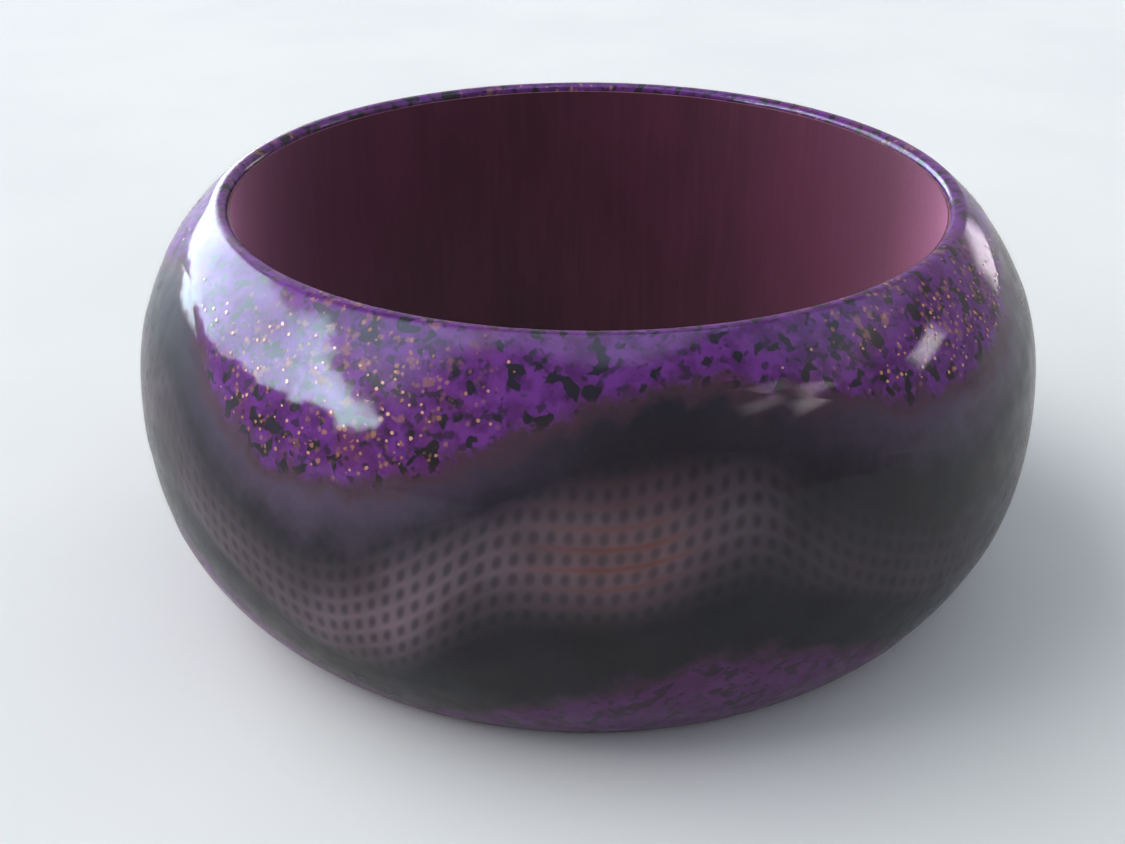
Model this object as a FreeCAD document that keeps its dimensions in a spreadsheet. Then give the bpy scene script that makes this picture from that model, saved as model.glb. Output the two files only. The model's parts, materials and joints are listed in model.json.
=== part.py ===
"""A wide domed bangle: a turned wooden ring, painted inside and out, and sealed outside under clear lacquer.

The ring lies flat with its bore axis on Z. The origin is the centre of the lower rim's resting plane, and -Y is
the front. Everything is in millimetres. Angles round the ring are measured from the front, positive towards +X.

From the outside in, the section is: clear lacquer, a thin clear size that holds the copper flakes (a gap here),
the colours, the graphite ground coat, the wood, and the bore's own paint. The ground coat covers the whole
outside. The colours lie on it side by side: a wavy purple band at each rim, and a bronze net print between them.
"""

import FreeCAD, Part
import Sketcher
import math
import os
import random

# Driving dimensions, as the cells of the spreadsheet.
DIMENSIONS = {
    "bore_radius": 32.5,
    "ring_height": 37.0,
    "outer_radius": 42.3,
    "crown_radius": 35.0,        # section's arc at mid height
    "shoulder_radius": 21.2,     # section's arc from the crown to the rim
    "shoulder_angle": 7.5,       # where the crown arc hands over, in degrees above mid height
    "edge_radius": 0.95,         # rounding at the outer side of each rim
    "lip_radius": 0.9,           # rounding where each rim turns into the bore
    "lacquer": 0.12,
    "flake_size_gap": 0.08,
    "colour": 0.08,
    "ground": 0.1,
    "bore_film": 0.15,
    "flake_thickness": 0.03,
    "flake_smallest": 0.09,
    "flake_largest": 0.2,
    "flake_edge_gap": 1.2,       # flakes keep this far inside the upper band
    "flake_top": 35.2,           # and below this height
    "flake_spread": 12.0,        # degrees, as the deviation of a lobe's flakes round its deepest point
    "upper_crest": 33.6,         # height of the upper band's edge between two lobes
    "lower_trough": 3.0,         # height of the lower band's edge below each lobe
    "lower_crest": 12.0,         # height of the lower band's edge between two lobes
    "lower_shift": 8.0,          # the lower wave runs this many degrees ahead of the upper one
    "net_below_upper": 3.8,      # the net print keeps this far under the upper band
    "net_above_lower": 5.5,      # and this far over the lower one
    "tool_reach": 5.0,           # how far cutting solids pass beyond what they cut
}

# Each lobe of the wave: the angle of the upper band's deepest point, and the height it comes down to.
LOBES = [(-102.0, 26.6), (-32.0, 24.9), (50.0, 29.3), (120.0, 26.0), (189.0, 26.8)]
WAVE_POINTS = 45

# The coats from the outside in. The size is a clear glue, and is left as a gap.
COATS = ("lacquer", "flake_size_gap", "colour", "ground")

FLAKES_PER_LOBE = 80
FLAKE_SEED = 11


def make_sheet(doc):
    sheet = doc.addObject("Spreadsheet::Sheet", "dims")
    cells = dict(DIMENSIONS)
    for number, (angle, height) in enumerate(LOBES, start=1):
        cells[f"lobe_angle_{number}"] = angle
        cells[f"lobe_height_{number}"] = height
    for row, (name, value) in enumerate(cells.items(), start=1):
        sheet.set(f"A{row}", name)
        sheet.set(f"B{row}", str(value))
        sheet.setAlias(f"B{row}", name)
    doc.recompute()
    return sheet


def lobes(sheet):
    numbers = range(1, len(LOBES) + 1)
    return [(sheet.get(f"lobe_angle_{n}"), sheet.get(f"lobe_height_{n}")) for n in numbers]


def depth_under(sheet, coats):
    """How deep the surface under the first few coats lies: its value, and the sum as an expression."""
    names = COATS[:coats]
    total = " + ".join(f"dims.{name}" for name in names) or "0"
    return sum(sheet.get(name) for name in names), f"({total})"


def origin_plane(body, role):
    return next(f for f in body.Origin.OriginFeatures if f.Role == role)


def new_sketch(body, name, plane):
    sketch = body.newObject("Sketcher::SketchObject", name)
    sketch.AttachmentSupport = [(origin_plane(body, plane), "")]
    sketch.MapMode = "FlatFace"
    return sketch


def bind(sketch, constraint, name, expression):
    """Adds a named dimension to the sketch and ties it to the spreadsheet."""
    index = sketch.addConstraint(constraint)
    sketch.renameConstraint(index, name)
    sketch.setExpression(f"Constraints.{name}", expression)


def section_points(sheet, inset):
    """Centres and angles of the section's arcs above mid height, for a surface that lies inset under the finish."""
    half = sheet.ring_height / 2
    turn = math.radians(sheet.shoulder_angle)
    crown = (sheet.outer_radius - sheet.crown_radius, 0.0)
    step = sheet.crown_radius - sheet.shoulder_radius
    shoulder = (crown[0] + step * math.cos(turn), step * math.sin(turn))
    reach = sheet.shoulder_radius - sheet.edge_radius
    edge_turn = math.asin((half - sheet.edge_radius - shoulder[1]) / reach)
    edge = (shoulder[0] + reach * math.cos(edge_turn), half - sheet.edge_radius)
    lip = (sheet.bore_radius + sheet.lip_radius, half - sheet.lip_radius)
    return {
        "crown": (crown, sheet.crown_radius - inset, 0.0, turn),
        "shoulder": (shoulder, sheet.shoulder_radius - inset, turn, edge_turn),
        "edge": (edge, sheet.edge_radius - inset, edge_turn, math.pi / 2),
        "lip": (lip, sheet.lip_radius - inset, math.pi / 2, math.pi),
    }


def arc(centre, radius, start, end):
    circle = Part.Circle(FreeCAD.Vector(*centre, 0), FreeCAD.Vector(0, 0, 1), radius)
    return Part.ArcOfCircle(circle, start, end)


def line(a, b):
    return Part.LineSegment(FreeCAD.Vector(*a, 0), FreeCAD.Vector(*b, 0))


def full_section(doc, sheet, name, coats):
    """A solid ring bounded outside by the surface under the first few coats.

    Under no coats its inside is the finished bore. Under some its inside reaches past the bore, level with the
    ends of the lips, so that cutting it from an outer ring leaves a skin that is open towards the bore."""
    inset, depth = depth_under(sheet, coats)
    arcs = section_points(sheet, inset)
    half = sheet.ring_height / 2
    lip_end = half - sheet.lip_radius
    inside = sheet.bore_radius if inset == 0 else sheet.bore_radius - sheet.tool_reach
    body = doc.addObject("PartDesign::Body", name)
    sketch = new_sketch(body, name + "_section", "XZ_Plane")

    centre, radius, _, turn = arcs["crown"]
    crown = sketch.addGeometry(arc(centre, radius, -turn, turn))
    sketch.addConstraint(Sketcher.Constraint("PointOnObject", crown, 3, -1))
    bind(sketch, Sketcher.Constraint("Radius", crown, radius), "crown", f"dims.crown_radius - {depth}")
    bind(sketch, Sketcher.Constraint("DistanceX", -1, 1, crown, 3, centre[0]), "crown_centre",
         "dims.outer_radius - dims.crown_radius")

    ends = {}
    for side, sign in (("upper", 1), ("lower", -1)):
        made = {}
        for part in ("shoulder", "edge", "lip"):
            (x, y), r, start, end = arcs[part]
            angles = (start, end) if sign > 0 else (-end, -start)
            made[part] = sketch.addGeometry(arc((x, sign * y), r, *angles))
            bind(sketch, Sketcher.Constraint("Radius", made[part], r), f"{side}_{part}",
                 f"dims.{part}_radius - {depth}")
        first, last = (1, 2) if sign > 0 else (2, 1)      # ends of an arc nearest the crown and nearest the bore
        land = sketch.addGeometry(line((arcs["edge"][0][0], sign * (half - inset)),
                                       (arcs["lip"][0][0], sign * (half - inset))))
        sketch.addConstraint(Sketcher.Constraint("Tangent", crown, last, made["shoulder"], first))
        sketch.addConstraint(Sketcher.Constraint("Tangent", made["shoulder"], last, made["edge"], first))
        sketch.addConstraint(Sketcher.Constraint("Tangent", made["edge"], last, land, 1))
        sketch.addConstraint(Sketcher.Constraint("Tangent", land, 2, made["lip"], first))
        sketch.addConstraint(Sketcher.Constraint("Horizontal", land))
        sketch.addConstraint(Sketcher.Constraint("Horizontal", made["lip"], 3, made["lip"], last))
        shoulder_rise = "(dims.crown_radius - dims.shoulder_radius) * sin(dims.shoulder_angle)"
        for part, height in (("shoulder", shoulder_rise), ("edge", "dims.ring_height / 2 - dims.edge_radius")):
            centre = (made[part], 3) if sign > 0 else (-1, 1)
            origin = (-1, 1) if sign > 0 else (made[part], 3)
            bind(sketch, Sketcher.Constraint("DistanceY", *origin, *centre, arcs[part][0][1]),
                 f"{side}_{part}_height", height)
        bind(sketch, Sketcher.Constraint("DistanceX", -1, 1, made["lip"], 3, arcs["lip"][0][0]),
             f"{side}_lip_centre", "dims.bore_radius + dims.lip_radius")
        ends[side] = (made["lip"], last)

    if inset:
        for side, sign in (("upper", 1), ("lower", -1)):
            step = sketch.addGeometry(line((sheet.bore_radius + inset, sign * lip_end), (inside, sign * lip_end)))
            sketch.addConstraint(Sketcher.Constraint("Coincident", *ends[side], step, 1))
            sketch.addConstraint(Sketcher.Constraint("Horizontal", step))
            ends[side] = (step, 2)
    wall = sketch.addGeometry(line((inside, lip_end), (inside, -lip_end)))
    sketch.addConstraint(Sketcher.Constraint("Coincident", *ends["upper"], wall, 1))
    sketch.addConstraint(Sketcher.Constraint("Coincident", *ends["lower"], wall, 2))
    if inset:
        sketch.addConstraint(Sketcher.Constraint("Vertical", wall))
        bind(sketch, Sketcher.Constraint("DistanceX", -1, 1, wall, 1, inside), "inside",
             "dims.bore_radius - dims.tool_reach")

    turned = body.newObject("PartDesign::Revolution", name + "_turned")
    turned.Profile = sketch
    turned.ReferenceAxis = (sketch, ["V_Axis"])
    turned.Angle = 360.0
    body.Tip = turned
    return body


def bore_cylinder(doc, name, radius_expression, height_expression):
    """A cylinder on the ring's axis, centred on mid height."""
    rod = doc.addObject("Part::Cylinder", name)
    rod.setExpression("Radius", radius_expression)
    rod.setExpression("Height", height_expression)
    rod.setExpression("Placement.Base.z", f"-({height_expression}) / 2")
    return rod


def boolean(doc, kind, name, base, tool):
    result = doc.addObject(f"Part::{kind}", name)
    result.Base = base
    result.Tool = tool
    return result


def finish(result, label):
    """Labels a sub-part and lifts it, so that the lower rim rests on the origin's plane."""
    result.Label = label
    result.setExpression("Placement.Base.z", "dims.ring_height / 2")
    return result


def around(angle, radius, height):
    """The point at an angle round the ring, a radius from its axis and a height above mid height."""
    turn = math.radians(angle)
    return FreeCAD.Vector(radius * math.sin(turn), -radius * math.cos(turn), height)


def wave_height(sheet, band, angle):
    """Height above the resting plane of a band's wavy edge, at an angle round the ring."""
    shift = 0.0 if band == "upper" else sheet.lower_shift
    centres = lobes(sheet)
    for (lobe, low), (following, next_low) in zip(centres, centres[1:] + centres[:1]):
        share = ((angle - shift - lobe) % 360.0) / ((following - lobe) % 360.0)
        if share < 1.0:
            break
    rise = (1 - math.cos(2 * math.pi * share)) / 2
    if band == "lower":
        return sheet.lower_trough + (sheet.lower_crest - sheet.lower_trough) * rise
    start = low if share < 0.5 else next_low
    return start + (sheet.upper_crest - start) * rise


def wave_tool(doc, sheet, name, band, offset, side):
    """The space on the upper (1) or lower (-1) side of a band's edge, raised by the offset: a thick wavy washer."""
    edges = []
    for radius in (sheet.bore_radius - sheet.tool_reach, sheet.outer_radius + sheet.tool_reach):
        points = []
        for number in range(WAVE_POINTS):
            angle = 360.0 * number / WAVE_POINTS
            height = wave_height(sheet, band, angle) + offset - sheet.ring_height / 2
            points.append(around(angle, radius, height))
        curve = Part.BSplineCurve()
        curve.interpolate(Points=points, PeriodicFlag=True)
        edges.append(curve.toShape())
    tool = doc.addObject("Part::Feature", name)
    tool.Shape = Part.makeRuledSurface(*edges).extrude(FreeCAD.Vector(0, 0, side * sheet.ring_height))
    return tool


def surface_point(sheet, height, inset):
    """(radius, outward tilt in radians) of the surface at that inset, at a height above mid height."""
    arcs = section_points(sheet, inset)
    for part in ("crown", "shoulder", "edge"):
        (x, y), radius, _, end = arcs[part]
        if height <= y + radius * math.sin(end):
            tilt = math.asin((height - y) / radius)
            return x + radius * math.cos(tilt), tilt
    raise ValueError(f"no side wall at height {height}")


def flake(chance, sheet, angle, height):
    """One irregular many-sided flake of copper leaf, lying in the middle of the size."""
    radius, tilt = surface_point(sheet, height, depth_under(sheet, 2)[0])
    lift = (sheet.flake_size_gap - sheet.flake_thickness) / 2
    size = chance.uniform(sheet.flake_smallest, sheet.flake_largest)
    sides = chance.choice((5, 6, 7))
    corners = []
    for side in range(sides):
        turn = 2 * math.pi * side / sides
        reach = size * chance.uniform(0.7, 1.0)
        corners.append(FreeCAD.Vector(reach * math.cos(turn), reach * math.sin(turn), 0))
    chip = Part.Face(Part.makePolygon(corners + corners[:1])).extrude(FreeCAD.Vector(0, 0, sheet.flake_thickness))
    normal = around(angle, math.cos(tilt), math.sin(tilt))
    face_out = FreeCAD.Rotation(FreeCAD.Vector(0, 0, 1), normal)
    chip.Placement = FreeCAD.Placement(around(angle, radius, height) + normal * lift, face_out)
    return chip


def flakes(doc, sheet):
    """Copper flakes scattered over the deep parts of the upper purple band, none touching another."""
    chance = random.Random(FLAKE_SEED)
    apart = 2.2 * sheet.flake_largest
    placed, chips = [], []
    for lobe, _ in lobes(sheet):
        wanted = len(chips) + FLAKES_PER_LOBE
        while len(chips) < wanted:
            angle = lobe + chance.gauss(0, sheet.flake_spread)
            low = min(wave_height(sheet, "upper", angle) + sheet.flake_edge_gap, sheet.flake_top)
            height = chance.uniform(low, sheet.flake_top) - sheet.ring_height / 2
            spot = around(angle, surface_point(sheet, height, 0.0)[0], height)
            if all((spot - other).Length > apart for other in placed):
                placed.append(spot)
                chips.append(flake(chance, sheet, angle, height))
    group = doc.addObject("Part::Feature", "copper_flakes")
    group.Shape = Part.makeCompound(chips)
    return group


def build(doc):
    """Makes every sub-part and returns them."""
    sheet = make_sheet(doc)
    finished = full_section(doc, sheet, "finished_ring", 0)
    under_lacquer = full_section(doc, sheet, "under_lacquer", 1)
    under_size = full_section(doc, sheet, "under_size", 2)
    under_colour = full_section(doc, sheet, "under_colour", 3)
    under_ground = full_section(doc, sheet, "under_ground", 4)
    doc.recompute()

    parts = [finish(boolean(doc, "Cut", "lacquer_shell", finished, under_lacquer), "clear_lacquer")]

    core_hole = bore_cylinder(doc, "core_hole", "dims.bore_radius + dims.bore_film", "2 * dims.ring_height")
    parts.append(finish(boolean(doc, "Cut", "turned_ring", under_ground, core_hole), "wood_core"))

    film_length = "dims.ring_height - 2 * dims.lip_radius"
    film_outside = bore_cylinder(doc, "film_outside", "dims.bore_radius + dims.bore_film", film_length)
    film_inside = bore_cylinder(doc, "film_inside", "dims.bore_radius", film_length)
    parts.append(finish(boolean(doc, "Cut", "bore_film", film_outside, film_inside), "bore_paint"))

    parts.append(finish(boolean(doc, "Cut", "ground_shell", under_colour, under_ground), "graphite_ground"))

    colour = boolean(doc, "Cut", "colour_layer", under_size, under_colour)
    for band, side in (("upper", 1), ("lower", -1)):
        space = wave_tool(doc, sheet, f"{band}_space", band, 0.0, side)
        parts.append(finish(boolean(doc, "Common", f"{band}_band", colour, space), f"{band}_purple_band"))
    net_top = wave_tool(doc, sheet, "net_top_space", "upper", -sheet.net_below_upper, -1)
    net_bottom = wave_tool(doc, sheet, "net_bottom_space", "lower", sheet.net_above_lower, 1)
    under_edge = boolean(doc, "Common", "net_under_upper", colour, net_top)
    parts.append(finish(boolean(doc, "Common", "net_ribbon", under_edge, net_bottom), "net_print"))
    parts.append(finish(flakes(doc, sheet), "copper_flakes"))
    return parts


def check(doc, parts):
    """Stops on any failed object, and on a sub-part that isn't sound."""
    failed = [o.Name for o in doc.Objects if {"Invalid", "Error"} & set(o.State)]
    if failed:
        raise RuntimeError(f"failed objects: {failed}")
    for part in parts:
        shape = part.Shape
        if shape.isNull() or not shape.isValid() or not shape.Solids:
            raise RuntimeError(f"{part.Label} has no sound solid")
        print(f"{part.Label:20s} solids {len(shape.Solids):3d}  volume {shape.Volume:10.2f} mm3")


def main():
    doc = FreeCAD.newDocument("bangle")
    parts = build(doc)
    doc.recompute()
    check(doc, parts)
    os.makedirs("parts", exist_ok=True)
    for part in parts:
        part.Shape.exportStep(os.path.join("parts", part.Label + ".step"))


main()
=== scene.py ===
"""The painted bangle's looks: smooth lathed coats around the frame, with procedural paint and lacquer.

Metres, in the frame's own axes. Angles round the ring start at the front (-Y), positive towards +X.
"""

import json
import math

import bpy
import numpy as np
from mathutils import Matrix, Vector


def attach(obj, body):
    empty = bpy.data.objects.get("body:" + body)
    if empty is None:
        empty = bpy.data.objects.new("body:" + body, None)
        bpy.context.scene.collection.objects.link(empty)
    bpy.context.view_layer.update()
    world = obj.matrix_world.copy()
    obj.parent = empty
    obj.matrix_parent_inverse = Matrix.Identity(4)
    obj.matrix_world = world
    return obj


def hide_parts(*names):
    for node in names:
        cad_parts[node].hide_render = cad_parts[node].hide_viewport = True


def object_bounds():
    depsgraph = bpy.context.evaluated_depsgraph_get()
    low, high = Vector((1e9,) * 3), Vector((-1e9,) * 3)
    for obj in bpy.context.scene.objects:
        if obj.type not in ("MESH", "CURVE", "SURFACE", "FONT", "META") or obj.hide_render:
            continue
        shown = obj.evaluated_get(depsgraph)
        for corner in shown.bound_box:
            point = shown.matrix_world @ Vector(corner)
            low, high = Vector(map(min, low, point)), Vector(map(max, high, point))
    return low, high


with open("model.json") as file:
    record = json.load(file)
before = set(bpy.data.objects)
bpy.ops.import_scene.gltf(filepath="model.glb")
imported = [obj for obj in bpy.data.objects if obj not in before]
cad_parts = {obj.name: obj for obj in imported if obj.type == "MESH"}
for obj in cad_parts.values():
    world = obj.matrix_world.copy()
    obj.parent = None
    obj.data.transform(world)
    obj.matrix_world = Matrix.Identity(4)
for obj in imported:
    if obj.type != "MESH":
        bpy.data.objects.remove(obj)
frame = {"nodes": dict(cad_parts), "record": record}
CAD_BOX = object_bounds()
MOUNTS = {mount["name"]: mount for mount in frame["record"]["mounts"]}

MM = 0.001
HEIGHT = CAD_BOX[1][2] - CAD_BOX[0][2]
HALF = HEIGHT / 2
OUTER = (CAD_BOX[1][0] - CAD_BOX[0][0]) / 2
BORE = MOUNTS["wrist_bore"]["dims"]["r_mm"] * MM

# The section, as it was designed.
CROWN = 35.0 * MM
SHOULDER = 21.2 * MM
SHOULDER_ANGLE = math.radians(7.5)
EDGE = 0.95 * MM
LIP = 0.9 * MM
LACQUER = 0.12 * MM
COLOUR_INSET = 0.20 * MM
GROUND_INSET = 0.28 * MM
WOOD_INSET = 0.38 * MM
BORE_FILM = 0.15 * MM

# The waves, as they were designed: degrees and millimetres.
LOBES = [(-102.0, 26.6), (-32.0, 24.9), (50.0, 29.3), (120.0, 26.0), (189.0, 26.8)]
UPPER_CREST = 33.6
LOWER_TROUGH = 3.0
LOWER_CREST = 12.0
LOWER_SHIFT = 8.0
NET_BELOW_UPPER = 3.8
NET_ABOVE_LOWER = 5.5

NET_COLUMNS = 204        # columns of openings in the net, once round the ring
NET_ROW = 1.62           # millimetres from one opening to the next in a column
# The net's middle row sags in two swags from one lobe to the next.
# Each point says where it is between the two, and its height in millimetres.
NET_COURSE = [(0.0, 12.6), (0.05, 12.6), (0.15, 15.8), (0.28, 22.2), (0.35, 22.6), (0.43, 22.2),
              (0.53, 23.6), (0.61, 25.2), (0.66, 22.5), (0.72, 19.0), (0.8, 16.3), (0.9, 14.0),
              (1.0, 12.6)]
# How strongly the bronze took: degrees round the ring, and a strength.
NET_STRENGTH = [(-180, 0.45), (-150, 1.0), (-112, 0.3), (-82, 0.5), (-68, 0.2), (-57, 0.22), (-42, 0.48),
                (-32, 0.52), (-26, 0.8), (-20, 1.0), (-11, 0.53), (-4, 0.74), (2, 0.9), (7, 0.88),
                (11, 0.56), (16, 0.36), (22, 0.14), (32, 0.15), (66, 0.2), (88, 1.0), (110, 0.4),
                (130, 0.2), (150, 0.45), (180, 0.45)]
# How coppery it is: degrees round the ring, and a share. It is most coppery along its middle row.
NET_WARMTH = [(-162, 0.0), (-150, 1.0), (-138, 0.0), (-10, 0.0), (1, 1.0), (7, 1.0), (15, 0.0), (76, 0.0),
              (88, 1.0), (100, 0.0)]
NET_LEAN = 0.06          # columns that the net leans by, per millimetre of height
OPENING = (0.28, 0.31)   # half width and half height of an opening, in columns and rows
FEATHER = 1.5 * MM       # how far a colour thins out towards its edge
THINNEST = 0.03          # share of a colour's thickness that is left at its edge

COLUMNS = 480
COLUMN_ANGLES = np.linspace(-180.0, 180.0, COLUMNS, endpoint=False)


# ---------------------------------------------------------------- shapes

def arc(centre, radius, start, end, steps):
    turns = np.linspace(start, end, steps + 1)
    return np.stack([centre[0] + radius * np.cos(turns), centre[1] + radius * np.sin(turns)], axis=1)


def section(inset):
    """(radius, height) points of a coat's outer surface, from the upper lip's end to the lower lip's."""
    rise = CROWN - SHOULDER
    crown = (OUTER - CROWN, 0.0)
    shoulder = (crown[0] + rise * math.cos(SHOULDER_ANGLE), rise * math.sin(SHOULDER_ANGLE))
    reach = SHOULDER - EDGE
    edge_turn = math.asin((HALF - EDGE - shoulder[1]) / reach)
    edge = (shoulder[0] + reach * math.cos(edge_turn), HALF - EDGE)
    lip = (BORE + LIP, HALF - LIP)
    upper = np.concatenate([
        arc(lip, LIP - inset, math.pi, math.pi / 2, 8),
        arc(edge, EDGE - inset, math.pi / 2, edge_turn, 6),
        arc(shoulder, SHOULDER - inset, edge_turn, SHOULDER_ANGLE, 28)[1:],
        arc(crown, CROWN - inset, SHOULDER_ANGLE, 0.0, 6)[1:],
    ])
    lower = upper[-2::-1] * (1, -1)
    return np.concatenate([upper, lower]) + (0, HALF)


def lengths(points):
    """Distance along a section, from its first point."""
    return np.concatenate([[0.0], np.cumsum(np.hypot(*np.diff(points, axis=0).T))])


def between(points, start, end, steps):
    """Points evenly spaced along a section between two distances, ends included."""
    along = lengths(points)
    wanted = np.linspace(start, end, steps + 1)
    return np.stack([np.interp(wanted, along, points[:, k]) for k in (0, 1)], axis=1)


def distance_at(points, height):
    """Distance along a section where its outer side stands at that height."""
    along = lengths(points)
    side = slice(points[:, 1].argmax(), points[:, 1].argmin() + 1)
    return np.interp(-height, -points[side, 1], along[side])


def turned(points, angle):
    """A section's points at an angle round the ring, in radians."""
    radius, height = points[:, 0], points[:, 1]
    return np.stack([radius * math.sin(angle), -radius * math.cos(angle), height], axis=1)


def wave_shares(angles, shift=0.0):
    """Where each angle falls between two lobes, from 0 to 1, and the heights of those lobes."""
    share, low, next_low = (np.zeros_like(angles) for _ in range(3))
    for (lobe, depth), (following, next_depth) in zip(LOBES, LOBES[1:] + LOBES[:1]):
        span = (following - lobe) % 360.0
        along = (angles - shift - lobe) % 360.0
        inside = along < span + 1e-4    # a little over, so that rounding leaves no angle out
        share[inside], low[inside], next_low[inside] = along[inside] / span, depth, next_depth
    return share, low, next_low


def wave(angles, band):
    """Height in millimetres of a band's wavy edge at these angles, in degrees."""
    if band == "lower":
        share = wave_shares(angles, LOWER_SHIFT)[0]
        return LOWER_TROUGH + (LOWER_CREST - LOWER_TROUGH) * (1 - np.cos(2 * np.pi * share)) / 2
    share, low, next_low = wave_shares(angles)
    start = np.where(share < 0.5, low, next_low)
    return start + (UPPER_CREST - start) * (1 - np.cos(2 * np.pi * share)) / 2


def net_course(share):
    """Height of the net's middle row, by where it is between two lobes, with the swags' joins smoothed."""
    shares, heights = zip(*NET_COURSE)
    nearby = [np.interp((share + step) % 1.0, shares, heights) for step in np.linspace(-0.03, 0.03, 7)]
    return np.mean(nearby, axis=0)


def loft(name, loops):
    """A solid skin through closed loops of points, round the ring and back to the first loop."""
    count, size = loops.shape[:2]
    corner = np.arange(size)[None, :]
    first = np.arange(count)[:, None] * size + corner
    beside = np.arange(count)[:, None] * size + (corner + 1) % size
    wrap = count * size
    faces = np.stack([first, beside, (beside + size) % wrap, (first + size) % wrap], axis=-1)
    mesh = bpy.data.meshes.new(name)
    mesh.from_pydata(loops.reshape(-1, 3).tolist(), [], faces.reshape(-1, 4).tolist())
    mesh.validate()
    mesh.polygons.foreach_set("use_smooth", [True] * len(mesh.polygons))
    piece = bpy.data.objects.new(name, mesh)
    bpy.context.scene.collection.objects.link(piece)
    turn_outwards(mesh)
    mesh.set_sharp_from_angle(angle=math.radians(50))
    return piece


def turn_outwards(mesh):
    """Flips every face if the closed mesh is inside out."""
    mesh.calc_loop_triangles()
    points = np.empty(len(mesh.vertices) * 3)
    mesh.vertices.foreach_get("co", points)
    points = points.reshape(-1, 3)
    corners = np.empty(len(mesh.loop_triangles) * 3, dtype=np.int32)
    mesh.loop_triangles.foreach_get("vertices", corners)
    a, b, c = points[corners.reshape(-1, 3)].transpose(1, 0, 2)
    if np.einsum("ij,ij->i", a, np.cross(b, c)).sum() < 0:
        mesh.flip_normals()


def store(piece, **values):
    """Keeps one number per vertex for the material to read."""
    for name, numbers in values.items():
        kept = piece.data.attributes.new(name, "FLOAT", "POINT")
        kept.data.foreach_set("value", np.ascontiguousarray(numbers, dtype=np.float32).ravel())


def store_waves(piece, loops):
    """Keeps how far each point is inside each purple band and the net's stripe, in millimetres.

    Also keeps how near it is to a wave's crest, from 0 at a lobe's middle to 1, its height above the net's
    middle row, and how strong and how coppery the net is there."""
    points = loops.reshape(-1, 3)
    angles = np.degrees(np.arctan2(points[:, 0], -points[:, 1]))
    heights = points[:, 2] / MM
    upper, lower = wave(angles, "upper"), wave(angles, "lower")
    share = wave_shares(angles)[0]
    crest = (1 - np.cos(2 * np.pi * share)) / 2
    net = np.minimum(upper - NET_BELOW_UPPER - heights, heights - lower - NET_ABOVE_LOWER)
    store(piece, upper=heights - upper, lower=lower - heights, crest=crest, net=net,
          climb=heights - net_course(share), glow=np.interp(angles, *zip(*NET_STRENGTH)),
          warmth=np.interp(angles, *zip(*NET_WARMTH)))


def shell(name, outside, inside):
    """A coat that wraps the outside and both rims, as a closed skin between two insets."""
    loop = np.concatenate([section(outside), section(inside)[::-1]])
    turns = np.linspace(0, 2 * np.pi, COLUMNS, endpoint=False)
    loops = np.stack([turned(loop, turn) for turn in turns])
    piece = loft(name, loops)
    store_waves(piece, loops)
    return piece


def strip(name, top, bottom, rows=48):
    """A colour between two heights, given for each column, or a rim where none is given.

    It thins out towards a wavy edge, as sponged paint does."""
    outside, inside = section(COLOUR_INSET), section(GROUND_INSET)
    loops = []
    for number in range(COLUMNS):
        ends = []
        for points in (outside, inside):
            start = 0.0 if top is None else distance_at(points, top[number] * MM)
            end = lengths(points)[-1] if bottom is None else distance_at(points, bottom[number] * MM)
            ends.append(between(points, start, end, rows))
        outer, inner = ends
        along = lengths(outer)
        thick = np.ones(rows + 1)
        if top is not None:
            thick = np.minimum(thick, along / FEATHER)
        if bottom is not None:
            thick = np.minimum(thick, (along[-1] - along) / FEATHER)
        skin = inner + (outer - inner) * np.maximum(thick, THINNEST)[:, None]
        loops.append(turned(np.concatenate([skin, inner[::-1]]), math.radians(COLUMN_ANGLES[number])))
    loops = np.stack(loops)
    piece = loft(name, loops)
    store_waves(piece, loops)
    return piece


def bore_film(name):
    """The paint on the bore, from lip to lip."""
    heights = np.linspace(LIP, HEIGHT - LIP, 25)
    front = np.column_stack([np.full_like(heights, BORE), heights])
    back = np.column_stack([np.full_like(heights, BORE + BORE_FILM), heights[::-1]])
    loop = np.concatenate([front, back])
    return loft(name, np.stack([turned(loop, math.radians(angle)) for angle in COLUMN_ANGLES]))


# ---------------------------------------------------------------- materials

# The lacquer's gloss, as a coat on whatever it wets.
GLOSS = {"Coat_Weight": 0.45, "Coat_Roughness": 0.05, "Coat_IOR": 1.5}


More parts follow.
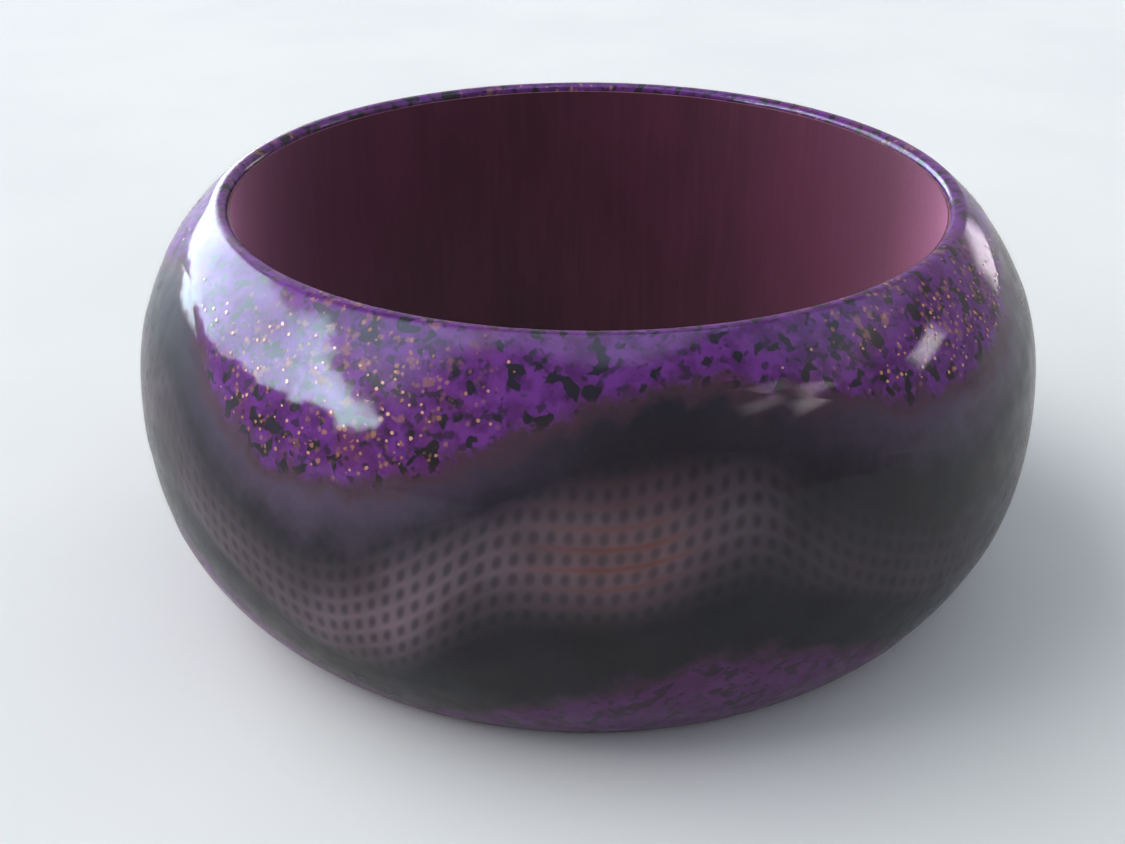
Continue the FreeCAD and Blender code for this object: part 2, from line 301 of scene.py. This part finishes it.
class Nodes:
    """A node tree, built with short calls that take numbers, colours or sockets."""

    def __init__(self, tree, output, coordinates):
        self.tree = tree
        self.tree.nodes.clear()
        self.output = tree.nodes.new(output)
        self.place = tree.nodes.new("ShaderNodeTexCoord").outputs[coordinates]

    def node(self, kind, **settings):
        made = self.tree.nodes.new(kind)
        for key, value in settings.items():
            setattr(made, key, value)
        return made

    def put(self, socket, value):
        if isinstance(value, bpy.types.NodeSocket):
            self.tree.links.new(value, socket)
        elif isinstance(value, tuple) and len(value) == 3 and socket.type == "RGBA":
            socket.default_value = (*value, 1.0)
        elif value is not None:
            socket.default_value = value

    def math(self, operation, *values):
        made = self.node("ShaderNodeMath", operation=operation)
        for socket, value in zip(made.inputs, values):
            self.put(socket, value)
        return made.outputs[0]

    def times(self, first, *others):
        """The product of two or more numbers."""
        for other in others:
            first = self.math("MULTIPLY", first, other)
        return first

    def plus(self, first, second):
        return self.math("ADD", first, second)

    def minus(self, first, second):
        return self.math("SUBTRACT", first, second)

    def over(self, first, second):
        return self.math("DIVIDE", first, second)

    def apart(self, first, second):
        """How far two numbers are from each other."""
        return self.math("ABSOLUTE", self.minus(first, second))

    def ramp(self, value, low, high):
        """0 at low and 1 at high, with soft ends."""
        made = self.node("ShaderNodeMapRange", interpolation_type="SMOOTHSTEP")
        for key, given in (("Value", value), ("From Min", low), ("From Max", high)):
            self.put(made.inputs[key], given)
        return made.outputs["Result"]

    def spread(self, value, low, high, to_low, to_high):
        """A straight change of range, kept between its ends."""
        made = self.node("ShaderNodeMapRange")
        given = (value, low, high, to_low, to_high)
        for key, number in zip(("Value", "From Min", "From Max", "To Min", "To Max"), given):
            self.put(made.inputs[key], number)
        return made.outputs["Result"]

    def blend(self, share, under, over):
        made = self.node("ShaderNodeMix", data_type="RGBA")
        for key, value in (("Factor", share), (6, under), (7, over)):
            self.put(made.inputs[key], value)
        return made.outputs[2]

    def noise(self, size, detail=2.0, roughness=0.5, distortion=0.0, place=None, output="Fac"):
        """Noise whose features are about that many metres across."""
        made = self.node("ShaderNodeTexNoise")
        self.put(made.inputs["Vector"], place or self.place)
        for key, value in (("Scale", 1 / size), ("Detail", detail), ("Roughness", roughness),
                           ("Distortion", distortion)):
            made.inputs[key].default_value = value
        return made.outputs[output]

    def moved(self, offset=(0, 0, 0), scale=(1, 1, 1)):
        made = self.node("ShaderNodeMapping")
        self.put(made.inputs["Vector"], self.place)
        made.inputs["Location"].default_value = offset
        made.inputs["Scale"].default_value = scale
        return made.outputs[0]

    def kept(self, name):
        """A number stored on the mesh."""
        return self.node("ShaderNodeAttribute", attribute_name=name).outputs["Fac"]

    def bump(self, height, distance, strength=1.0):
        made = self.node("ShaderNodeBump")
        self.put(made.inputs["Height"], height)
        made.inputs["Distance"].default_value = distance
        made.inputs["Strength"].default_value = strength
        return made.outputs["Normal"]

    def parts(self, vector):
        """A vector's three numbers."""
        made = self.node("ShaderNodeSeparateXYZ")
        self.put(made.inputs[0], vector)
        return made.outputs

    def end(self, shader):
        self.put(self.output.inputs["Surface"], shader)


class Surface(Nodes):
    """A new material's nodes."""

    def __init__(self, name):
        self.material = bpy.data.materials.new(name)
        self.material.use_nodes = True
        super().__init__(self.material.node_tree, "ShaderNodeOutputMaterial", "Object")

    def principled(self, **values):
        """Ends the material in a Principled shader; names are the sockets', with _ for a space."""
        made = self.node("ShaderNodeBsdfPrincipled")
        for key, value in values.items():
            self.put(made.inputs[key.replace("_", " ")], value)
        self.end(made.outputs["BSDF"])
        return self.material


def lacquer_waviness(surface):
    """The slight unevenness of a hand-laid gloss coat."""
    broad = surface.noise(9 * MM, detail=1.0)
    fine = surface.noise(2.6 * MM, detail=0.0)
    return surface.bump(surface.plus(broad, surface.times(fine, 0.25)), 0.035 * MM)


def graphite(surface):
    """The ground colour: charcoal, faintly clouded and grained."""
    cloud = surface.noise(11 * MM, detail=3.0)
    grain = surface.noise(0.45 * MM, detail=2.0)
    base = surface.blend(surface.ramp(cloud, 0.3, 0.7), (0.006, 0.006, 0.0105), (0.0115, 0.010, 0.014))
    return surface.blend(surface.spread(grain, 0.45, 0.75, 0.0, 0.25), base, (0.020, 0.018, 0.020))


def blotches(surface):
    """Where sponged dabs leave the ground open: short dark hooks and specks, denser in places."""
    hook = surface.noise(1.3 * MM, detail=1.5, roughness=0.45, distortion=0.3)
    patch = surface.noise(7.0 * MM, detail=1.0, place=surface.moved(offset=(0.9, 0.4, 0.2)))
    bar = surface.spread(patch, 0.3, 0.7, 0.60, 0.545)
    open_hook = surface.ramp(hook, bar, surface.plus(bar, 0.055))
    speck = surface.ramp(surface.noise(0.85 * MM, detail=1.0), 0.57, 0.67)
    return surface.math("MAXIMUM", open_hook, surface.times(speck, 0.75))


def copper_dust(surface):
    """Specks of copper too fine to be flakes of their own, in the lobes of the upper band."""
    shaken = surface.node("ShaderNodeVectorMath", operation="MULTIPLY_ADD")
    surface.put(shaken.inputs[0], surface.noise(0.5 * MM, output="Color"))
    surface.put(shaken.inputs[1], (0.35 * MM, 0.35 * MM, 0.35 * MM))
    surface.put(shaken.inputs[2], surface.place)
    dust = surface.node("ShaderNodeTexVoronoi")
    surface.put(dust.inputs["Vector"], shaken.outputs[0])
    dust.inputs["Scale"].default_value = 1 / (0.55 * MM)
    luck, size, _ = surface.parts(dust.outputs["Color"])
    reach = surface.spread(size, 0.0, 1.0, 0.25, 0.6)
    near = surface.ramp(surface.over(dust.outputs["Distance"], reach), 1.0, 0.4)
    swarm = surface.noise(4.5 * MM, detail=1.0, place=surface.moved(offset=(0.2, 0.8, 0.5)))
    chosen = surface.math("GREATER_THAN", luck, surface.spread(swarm, 0.38, 0.62, 0.96, 0.66))
    where = surface.times(surface.ramp(surface.kept("crest"), 0.75, 0.2),
                          surface.ramp(surface.kept("upper"), 0.3, 1.2))
    return surface.times(near, chosen, where, 0.85)


def purple(surface, is_lower):
    """The sponged purple itself: mottled, with its blotches and copper. On the lower band it is a darker,
    duller copy, which is painted shade.
    """
    mottle = surface.noise(1.5 * MM, detail=4.0, roughness=0.6)
    colour = surface.blend(surface.ramp(mottle, 0.36, 0.64), (0.074, 0.013, 0.108), (0.134, 0.028, 0.212))
    dull = surface.noise(5.0 * MM, detail=2.0, place=surface.moved(offset=(0.3, 0.1, 0.7)))
    colour = surface.blend(surface.ramp(dull, 0.54, 0.74), colour, (0.115, 0.024, 0.120))
    # Painted shade: the lower band gets a darker, duller purple, as if it lay in shadow near the floor.
    colour = surface.blend(surface.times(is_lower, 0.75), colour, (0.066, 0.017, 0.066))
    opened = surface.times(blotches(surface), surface.spread(is_lower, 0.0, 1.0, 0.95, 0.7))
    colour = surface.blend(opened, colour, (0.010, 0.011, 0.010))
    smear = surface.noise(1.1 * MM, detail=3.0, place=surface.moved(offset=(0.6, 0.5, 0.1)))
    where = surface.times(surface.ramp(surface.kept("crest"), 0.7, 0.1),
                          surface.ramp(surface.kept("upper"), 1.0, 4.0))
    smeared = surface.times(surface.ramp(smear, 0.57, 0.68), where, 0.7)
    colour = surface.blend(smeared, colour, (0.26, 0.115, 0.10))
    return surface.blend(copper_dust(surface), colour, (0.36, 0.16, 0.105))


def pattern(surface):
    """The whole painted pattern. Every coat of paint shares it, so the colours run into one another."""
    base = graphite(surface)
    ragged = surface.spread(surface.noise(2.6 * MM, detail=4.0, roughness=0.6), 0.25, 0.75, -1.3, 1.3)
    upper = surface.plus(surface.kept("upper"), ragged)
    lower = surface.plus(surface.kept("lower"), ragged)
    lobe = surface.minus(1.0, surface.kept("crest"))
    lilac = surface.times(surface.ramp(upper, -6.0, 0.0), lobe, 0.7)
    base = surface.blend(lilac, base, (0.11, 0.075, 0.14))
    plum = surface.times(surface.ramp(upper, -1.8, 0.3), 0.85)
    base = surface.blend(plum, base, (0.058, 0.025, 0.036))
    shade = surface.times(surface.ramp(lower, -1.6, 0.5), 0.8)
    base = surface.blend(shade, base, (0.055, 0.019, 0.052))
    inside = surface.math("MAXIMUM", surface.ramp(upper, -0.3, 1.2), surface.ramp(lower, -0.4, 1.0))
    return surface.blend(inside, base, purple(surface, surface.ramp(surface.kept("lower"), -6.0, -1.0)))


def net(surface, under):
    """Bronze printed through a net, in a swagged stripe that fades out on both sides."""
    x, y, _ = surface.parts(surface.place)
    turn = surface.math("ARCTAN2", x, surface.times(y, -1.0))
    wobble = surface.spread(surface.noise(5.0 * MM, detail=1.0), 0.0, 1.0, -0.3, 0.3)
    climb = surface.plus(surface.kept("climb"), wobble)
    column = surface.times(turn, NET_COLUMNS / (2 * math.pi))
    column = surface.minus(column, surface.times(climb, NET_LEAN))
    beside = surface.apart(column, surface.math("ROUND", column))
    row = surface.over(climb, NET_ROW)
    above = surface.apart(row, surface.math("ROUND", row))
    off_side = surface.math("POWER", surface.over(beside, OPENING[0]), 2.0)
    off_rise = surface.math("POWER", surface.over(above, OPENING[1]), 2.0)
    off = surface.math("SQRT", surface.plus(off_side, off_rise))
    rib = surface.ramp(above, 0.25, 0.5)
    middle = surface.ramp(surface.math("ABSOLUTE", climb), 4.0, 0.5)
    heart = surface.times(surface.kept("warmth"), surface.spread(middle, 0.0, 1.0, 0.55, 1.0))
    filled = surface.spread(heart, 0.0, 1.0, 0.38, 0.56)
    thread = surface.spread(surface.ramp(off, 0.3, 1.6), 0.0, 1.0, filled, 1.0)
    patch = surface.ramp(surface.noise(6.0 * MM, detail=2.0), 0.25, 0.6)
    fade = surface.times(surface.ramp(surface.kept("net"), -0.8, 2.0), surface.kept("glow"))
    fade = surface.times(fade, surface.spread(patch, 0.0, 1.0, 0.65, 1.0))
    for away, near in ((8.5, -1.0), (-7.0, 0.5)):
        fade = surface.times(fade, surface.ramp(climb, away, near))
    shown = surface.times(fade, thread, surface.spread(rib, 0.0, 1.0, 0.88, 1.0))
    tone = surface.blend(surface.times(heart, surface.spread(rib, 0.0, 1.0, 0.35, 1.0)),
                         (0.190, 0.130, 0.165), (0.180, 0.058, 0.051))
    return surface.blend(shown, under, tone)


def finish_paint(surface, colour):
    """Paint as it shows under gloss lacquer."""
    normal = lacquer_waviness(surface)
    rough = surface.spread(surface.noise(2.2 * MM, detail=3.0), 0.3, 0.7, 0.42, 0.62)
    return surface.principled(Base_Color=colour, Roughness=rough, Specular_IOR_Level=0.05, Normal=normal,
                              Coat_Normal=normal, **GLOSS)


def ground_material():
    surface = Surface("graphite_ground")
    return finish_paint(surface, pattern(surface))


def purple_material():
    surface = Surface("purple_band")
    return finish_paint(surface, pattern(surface))


def net_material():
    surface = Surface("net_print")
    return finish_paint(surface, net(surface, pattern(surface)))


def copper_material():
    surface = Surface("copper_flakes")
    cloud = surface.ramp(surface.noise(0.9 * MM), 0.3, 0.7)
    tone = surface.blend(cloud, (0.34, 0.14, 0.08), (0.54, 0.26, 0.16))
    rough = surface.spread(surface.noise(0.3 * MM), 0.3, 0.7, 0.25, 0.5)
    return surface.principled(Base_Color=tone, Metallic=0.3, Roughness=rough, **GLOSS)


def wood_material():
    surface = Surface("wood_core")
    drawn_out = surface.moved(scale=(1.0, 1.0, 0.12))
    rings = surface.noise(2.0 * MM, detail=3.0, distortion=0.6, place=drawn_out)
    tone = surface.blend(surface.ramp(rings, 0.35, 0.65), (0.30, 0.17, 0.08), (0.46, 0.29, 0.15))
    return surface.principled(Base_Color=tone, Roughness=surface.spread(rings, 0.0, 1.0, 0.6, 0.75),
                              Normal=surface.bump(rings, 0.05 * MM))


def bore_material():
    """Satin burgundy over wood: softly clouded, with the wood's grain just showing along the bore."""
    surface = Surface("bore_paint")
    fine = surface.noise(0.7 * MM, detail=3.0, roughness=0.6, place=surface.moved(scale=(1.0, 1.0, 0.06)))
    broad = surface.noise(7.0 * MM, detail=3.0, place=surface.moved(scale=(1.0, 1.0, 0.4)))
    speck = surface.noise(0.3 * MM, detail=2.0)
    tone = surface.blend(surface.ramp(broad, 0.3, 0.7), (0.046, 0.008, 0.016), (0.074, 0.012, 0.029))
    tone = surface.blend(surface.spread(fine, 0.45, 0.8, 0.0, 0.22), tone, (0.15, 0.036, 0.070))
    rough = surface.spread(speck, 0.3, 0.7, 0.40, 0.52)
    relief = surface.times(surface.plus(fine, speck), 0.5)
    return surface.principled(Base_Color=tone, Roughness=rough, Specular_IOR_Level=0.4,
                              Sheen_Weight=1.0, Sheen_Roughness=0.45, Sheen_Tint=(1.0, 0.46, 0.72),
                              Normal=surface.bump(relief, 0.012 * MM))


def lacquer_material():
    """Clear lacquer, with a trace of amber. Its gloss is the coat on the paints that it wets."""
    surface = Surface("clear_lacquer")
    cloud = surface.ramp(surface.noise(6.0 * MM, detail=3.0), 0.3, 0.7)
    clear = surface.node("ShaderNodeBsdfTransparent")
    surface.put(clear.inputs["Color"], surface.blend(cloud, (0.985, 0.980, 0.970), (1.0, 1.0, 1.0)))
    surface.end(clear.outputs[0])
    return surface.material


def dress(piece, material, nodes=()):
    """Gives a piece its material, and hides the CAD nodes it stands for, under the root body."""
    piece.data.materials.clear()
    piece.data.materials.append(material)
    if nodes:
        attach(piece, "root")
        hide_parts(*nodes)


def build_pieces():
    purples = purple_material()
    upper, lower = wave(COLUMN_ANGLES, "upper"), wave(COLUMN_ANGLES, "lower")
    lacquer = shell("lacquer_coat", 0.0, LACQUER)
    dress(lacquer, lacquer_material(), ["clear_lacquer"])
    graphite_coat = shell("graphite_coat", GROUND_INSET, WOOD_INSET)
    dress(graphite_coat, ground_material(), ["graphite_ground"])
    dress(strip("upper_purple_paint", None, upper), purples, ["upper_purple_band"])
    dress(strip("lower_purple_paint", lower, None), purples, ["lower_purple_band"])
    bronze = strip("bronze_net", upper - NET_BELOW_UPPER, lower + NET_ABOVE_LOWER)
    dress(bronze, net_material(), ["net_print"])
    dress(bore_film("burgundy_bore"), bore_material(), ["bore_paint"])
    for node, material in (("copper_flakes", copper_material()), ("wood_core", wood_material())):
        for slot in frame["nodes"][node].material_slots:
            slot.material = material


# ---------------------------------------------------------------- stage, camera and light

# What the gloss mirrors: brightness and colour of each part of the studio.
FRONT_BRIGHTNESS = 0.6
BACK_BRIGHTNESS = 0.25
SKY_BRIGHTNESS = 3.8
WINDOW_BRIGHTNESS = (13.0, 32.0)      # at its left end, and at its right end
FRONT_TINT = (0.88, 0.79, 0.87)
SKY_TINT = (0.62, 0.69, 1.0)
WINDOW_TINT = (0.66, 0.83, 1.0)
# Other bright places: angle round the ring, elevation, half width and half height in degrees, brightness.
GAPS = [(139, 2, 7, 7, 7.5), (100, 20, 7, 3, 14.0), (62, 30, 6, 3, 6.0), (50, 36, 7, 2.5, 3.0),
        (100, 46, 34, 16, 2.0), (-82, 51, 30, 18, 7.0)]
# What lights the paint: the surround's brightness on the left and on the right, and its colour.
SURROUND = (0.56, 0.58)
SURROUND_TINT = (0.86, 0.93, 1.0)
BACKDROP = 0.2           # how much brighter the surround is where it is seen directly
FLOOR = 12.0             # half the floor's side
FLOOR_GAP = 0.02 * MM    # keeps the floor clear of the lower rim


def direction(angle, elevation):
    """Unit vector towards an angle round the ring, from the front, and an elevation, in degrees."""
    turn, rise = math.radians(angle), math.radians(elevation)
    return Vector((math.sin(turn) * math.cos(rise), -math.cos(turn) * math.cos(rise), math.sin(rise)))


def add_camera():
    """The main camera, in front of the ring and a little above it, turned slightly off the ring's middle."""
    distance, elevation = 0.15091, 0.4448
    yaw, pitch, roll = 0.0151, -0.0397, -0.0074
    data = bpy.data.cameras.new("camera")
    data.sensor_width = 36.0
    data.lens = 49.37
    data.clip_start = 0.005
    camera = bpy.data.objects.new("camera", data)
    place = Vector((0, -distance * math.cos(elevation), HALF + distance * math.sin(elevation)))
    ahead = Vector((0, math.cos(elevation), -math.sin(elevation)))
    right = Vector((1, 0, 0))
    up = right.cross(ahead)
    turn = Matrix.Rotation(yaw, 3, up)
    ahead, right = turn @ ahead, turn @ right
    turn = Matrix.Rotation(pitch, 3, right)
    ahead, up = turn @ ahead, turn @ up
    turn = Matrix.Rotation(roll, 3, ahead)
    right, up = turn @ right, turn @ up
    axes = Matrix((right, up, -ahead)).transposed()
    camera.matrix_world = Matrix.Translation(place) @ axes.to_4x4()
    bpy.context.scene.collection.objects.link(camera)
    bpy.context.scene.camera = camera


def add_lamp(angle, elevation, distance, width, height, radiance, colour):
    """A rectangular lamp that faces the ring, from the front and upwards in degrees, sized in metres.

    It lights the paint, and the gloss doesn't mirror it."""
    data = bpy.data.lights.new("key", "AREA")
    data.shape = "RECTANGLE"
    data.size = width
    data.size_y = height
    data.energy = radiance * math.pi * width * height
    data.color = colour
    lamp = bpy.data.objects.new("key", data)
    away = direction(angle, elevation)
    place = Matrix.Translation(Vector((0, 0, HALF)) + away * distance)
    lamp.matrix_world = place @ away.to_track_quat("Z", "Y").to_matrix().to_4x4()
    lamp.visible_glossy = False
    lamp.visible_camera = False
    bpy.context.scene.collection.objects.link(lamp)


def add_stage():
    mesh = bpy.data.meshes.new("floor")
    corners = [(-FLOOR, -FLOOR, 0), (FLOOR, -FLOOR, 0), (FLOOR, FLOOR, 0), (-FLOOR, FLOOR, 0)]
    mesh.from_pydata(corners, [], [(0, 1, 2, 3)])
    floor = bpy.data.objects.new("floor", mesh)
    bpy.context.scene.collection.objects.link(floor)
    surface = Surface("floor")
    cloud = surface.ramp(surface.noise(0.05), 0.3, 0.7)
    tone = surface.blend(cloud, (0.82, 0.83, 0.84), (0.86, 0.865, 0.87))
    mesh.materials.append(surface.principled(Base_Color=tone, Roughness=0.9, Specular_IOR_Level=0.1))
    floor.location.z = CAD_BOX[0][2] - FLOOR_GAP


def spot(studio, around, rise, angle, elevation, width, height):
    """1 in a soft-edged rectangle of the studio, given by its direction and half sizes in degrees."""
    off_side = studio.over(studio.apart(around, angle), width)
    off_rise = studio.over(studio.apart(rise, elevation), height)
    return studio.ramp(studio.math("MAXIMUM", off_side, off_rise), 1.3, 0.35)


def window(studio, around, rise):
    """1 in the long low window on the left, whose upper edge is highest in its middle, in degrees."""
    ragged = studio.spread(studio.noise(0.16, detail=3.0, roughness=0.6), 0.25, 0.75, -5.0, 5.0)
    rise = studio.plus(rise, ragged)
    sill = studio.spread(around, -130.0, -85.0, 1.0, 17.0)
    head = studio.math("MINIMUM", studio.spread(around, -91.0, -57.0, 43.0, 27.0),
                       studio.spread(around, -165.0, -91.0, 21.0, 43.0))
    sides = studio.times(studio.ramp(studio.plus(around, ragged), -55.0, -59.0),
                         studio.ramp(around, -170.0, -160.0))
    opened = studio.times(studio.ramp(studio.minus(rise, sill), -1.0, 2.5),
                          studio.ramp(studio.minus(head, rise), -3.0, 4.0))
    return studio.times(opened, sides)


def reflections(studio):
    """What the gloss mirrors: a dim front, a blue sky overhead, a window on the left and gaps on the right.

    Gives its brightness and its colour."""
    x, y, z = studio.parts(studio.place)
    around = studio.math("DEGREES", studio.math("ARCTAN2", x, studio.times(y, -1.0)))
    rise = studio.math("DEGREES", studio.math("ARCSINE", z))
    mottle = studio.noise(0.3, detail=3.0)
    edge = studio.plus(rise, studio.spread(mottle, 0.3, 0.7, -5.0, 5.0))
    sky = studio.times(studio.ramp(edge, 60.0, 75.0), SKY_BRIGHTNESS)
    back = studio.times(studio.ramp(y, 0.2, 0.9), BACK_BRIGHTNESS)
    total = studio.plus(studio.plus(sky, back), FRONT_BRIGHTNESS)
    pane = window(studio, around, rise)
    bright = studio.times(studio.spread(mottle, 0.3, 0.7, 0.8, 1.15),
                          studio.spread(around, -100.0, -64.0, *WINDOW_BRIGHTNESS))
    total = studio.plus(total, studio.times(pane, bright))
    for angle, elevation, width, height, brightness in GAPS:
        gap = spot(studio, around, rise, angle, elevation, width, height)
        total = studio.plus(total, studio.times(gap, brightness))
    tint = studio.blend(studio.ramp(rise, 30.0, 50.0), FRONT_TINT, SKY_TINT)
    return total, studio.blend(pane, tint, WINDOW_TINT)


def add_light():
    """Soft studio light: one large lamp high on the left, a pale surround, and what the gloss mirrors."""
    world = bpy.data.worlds.new("studio")
    bpy.context.scene.world = world
    world.use_nodes = True
    world.cycles.sampling_method = "NONE"
    studio = Nodes(world.node_tree, "ShaderNodeOutputWorld", "Generated")
    seen = studio.node("ShaderNodeLightPath").outputs
    mirrored, tint = reflections(studio)
    colour = studio.blend(seen["Is Glossy Ray"], SURROUND_TINT, tint)
    strength = studio.node("ShaderNodeMix", data_type="FLOAT")
    studio.put(strength.inputs[0], seen["Is Glossy Ray"])
    studio.put(strength.inputs[2], studio.spread(studio.parts(studio.place)[0], -0.9, 0.6, *SURROUND))
    studio.put(strength.inputs[3], mirrored)
    backdrop = studio.times(seen["Is Camera Ray"], BACKDROP)
    background = studio.node("ShaderNodeBackground")
    studio.put(background.inputs["Color"], colour)
    studio.put(background.inputs["Strength"], studio.plus(strength.outputs[0], backdrop))
    studio.end(background.outputs[0])
    add_lamp(angle=-98, elevation=42, distance=5.0, width=6.2, height=5.0, radiance=2.6,
             colour=(1.0, 0.99, 0.96))
    bpy.context.scene.view_settings.view_transform = "Standard"


build_pieces()
add_camera()
add_stage()
add_light()
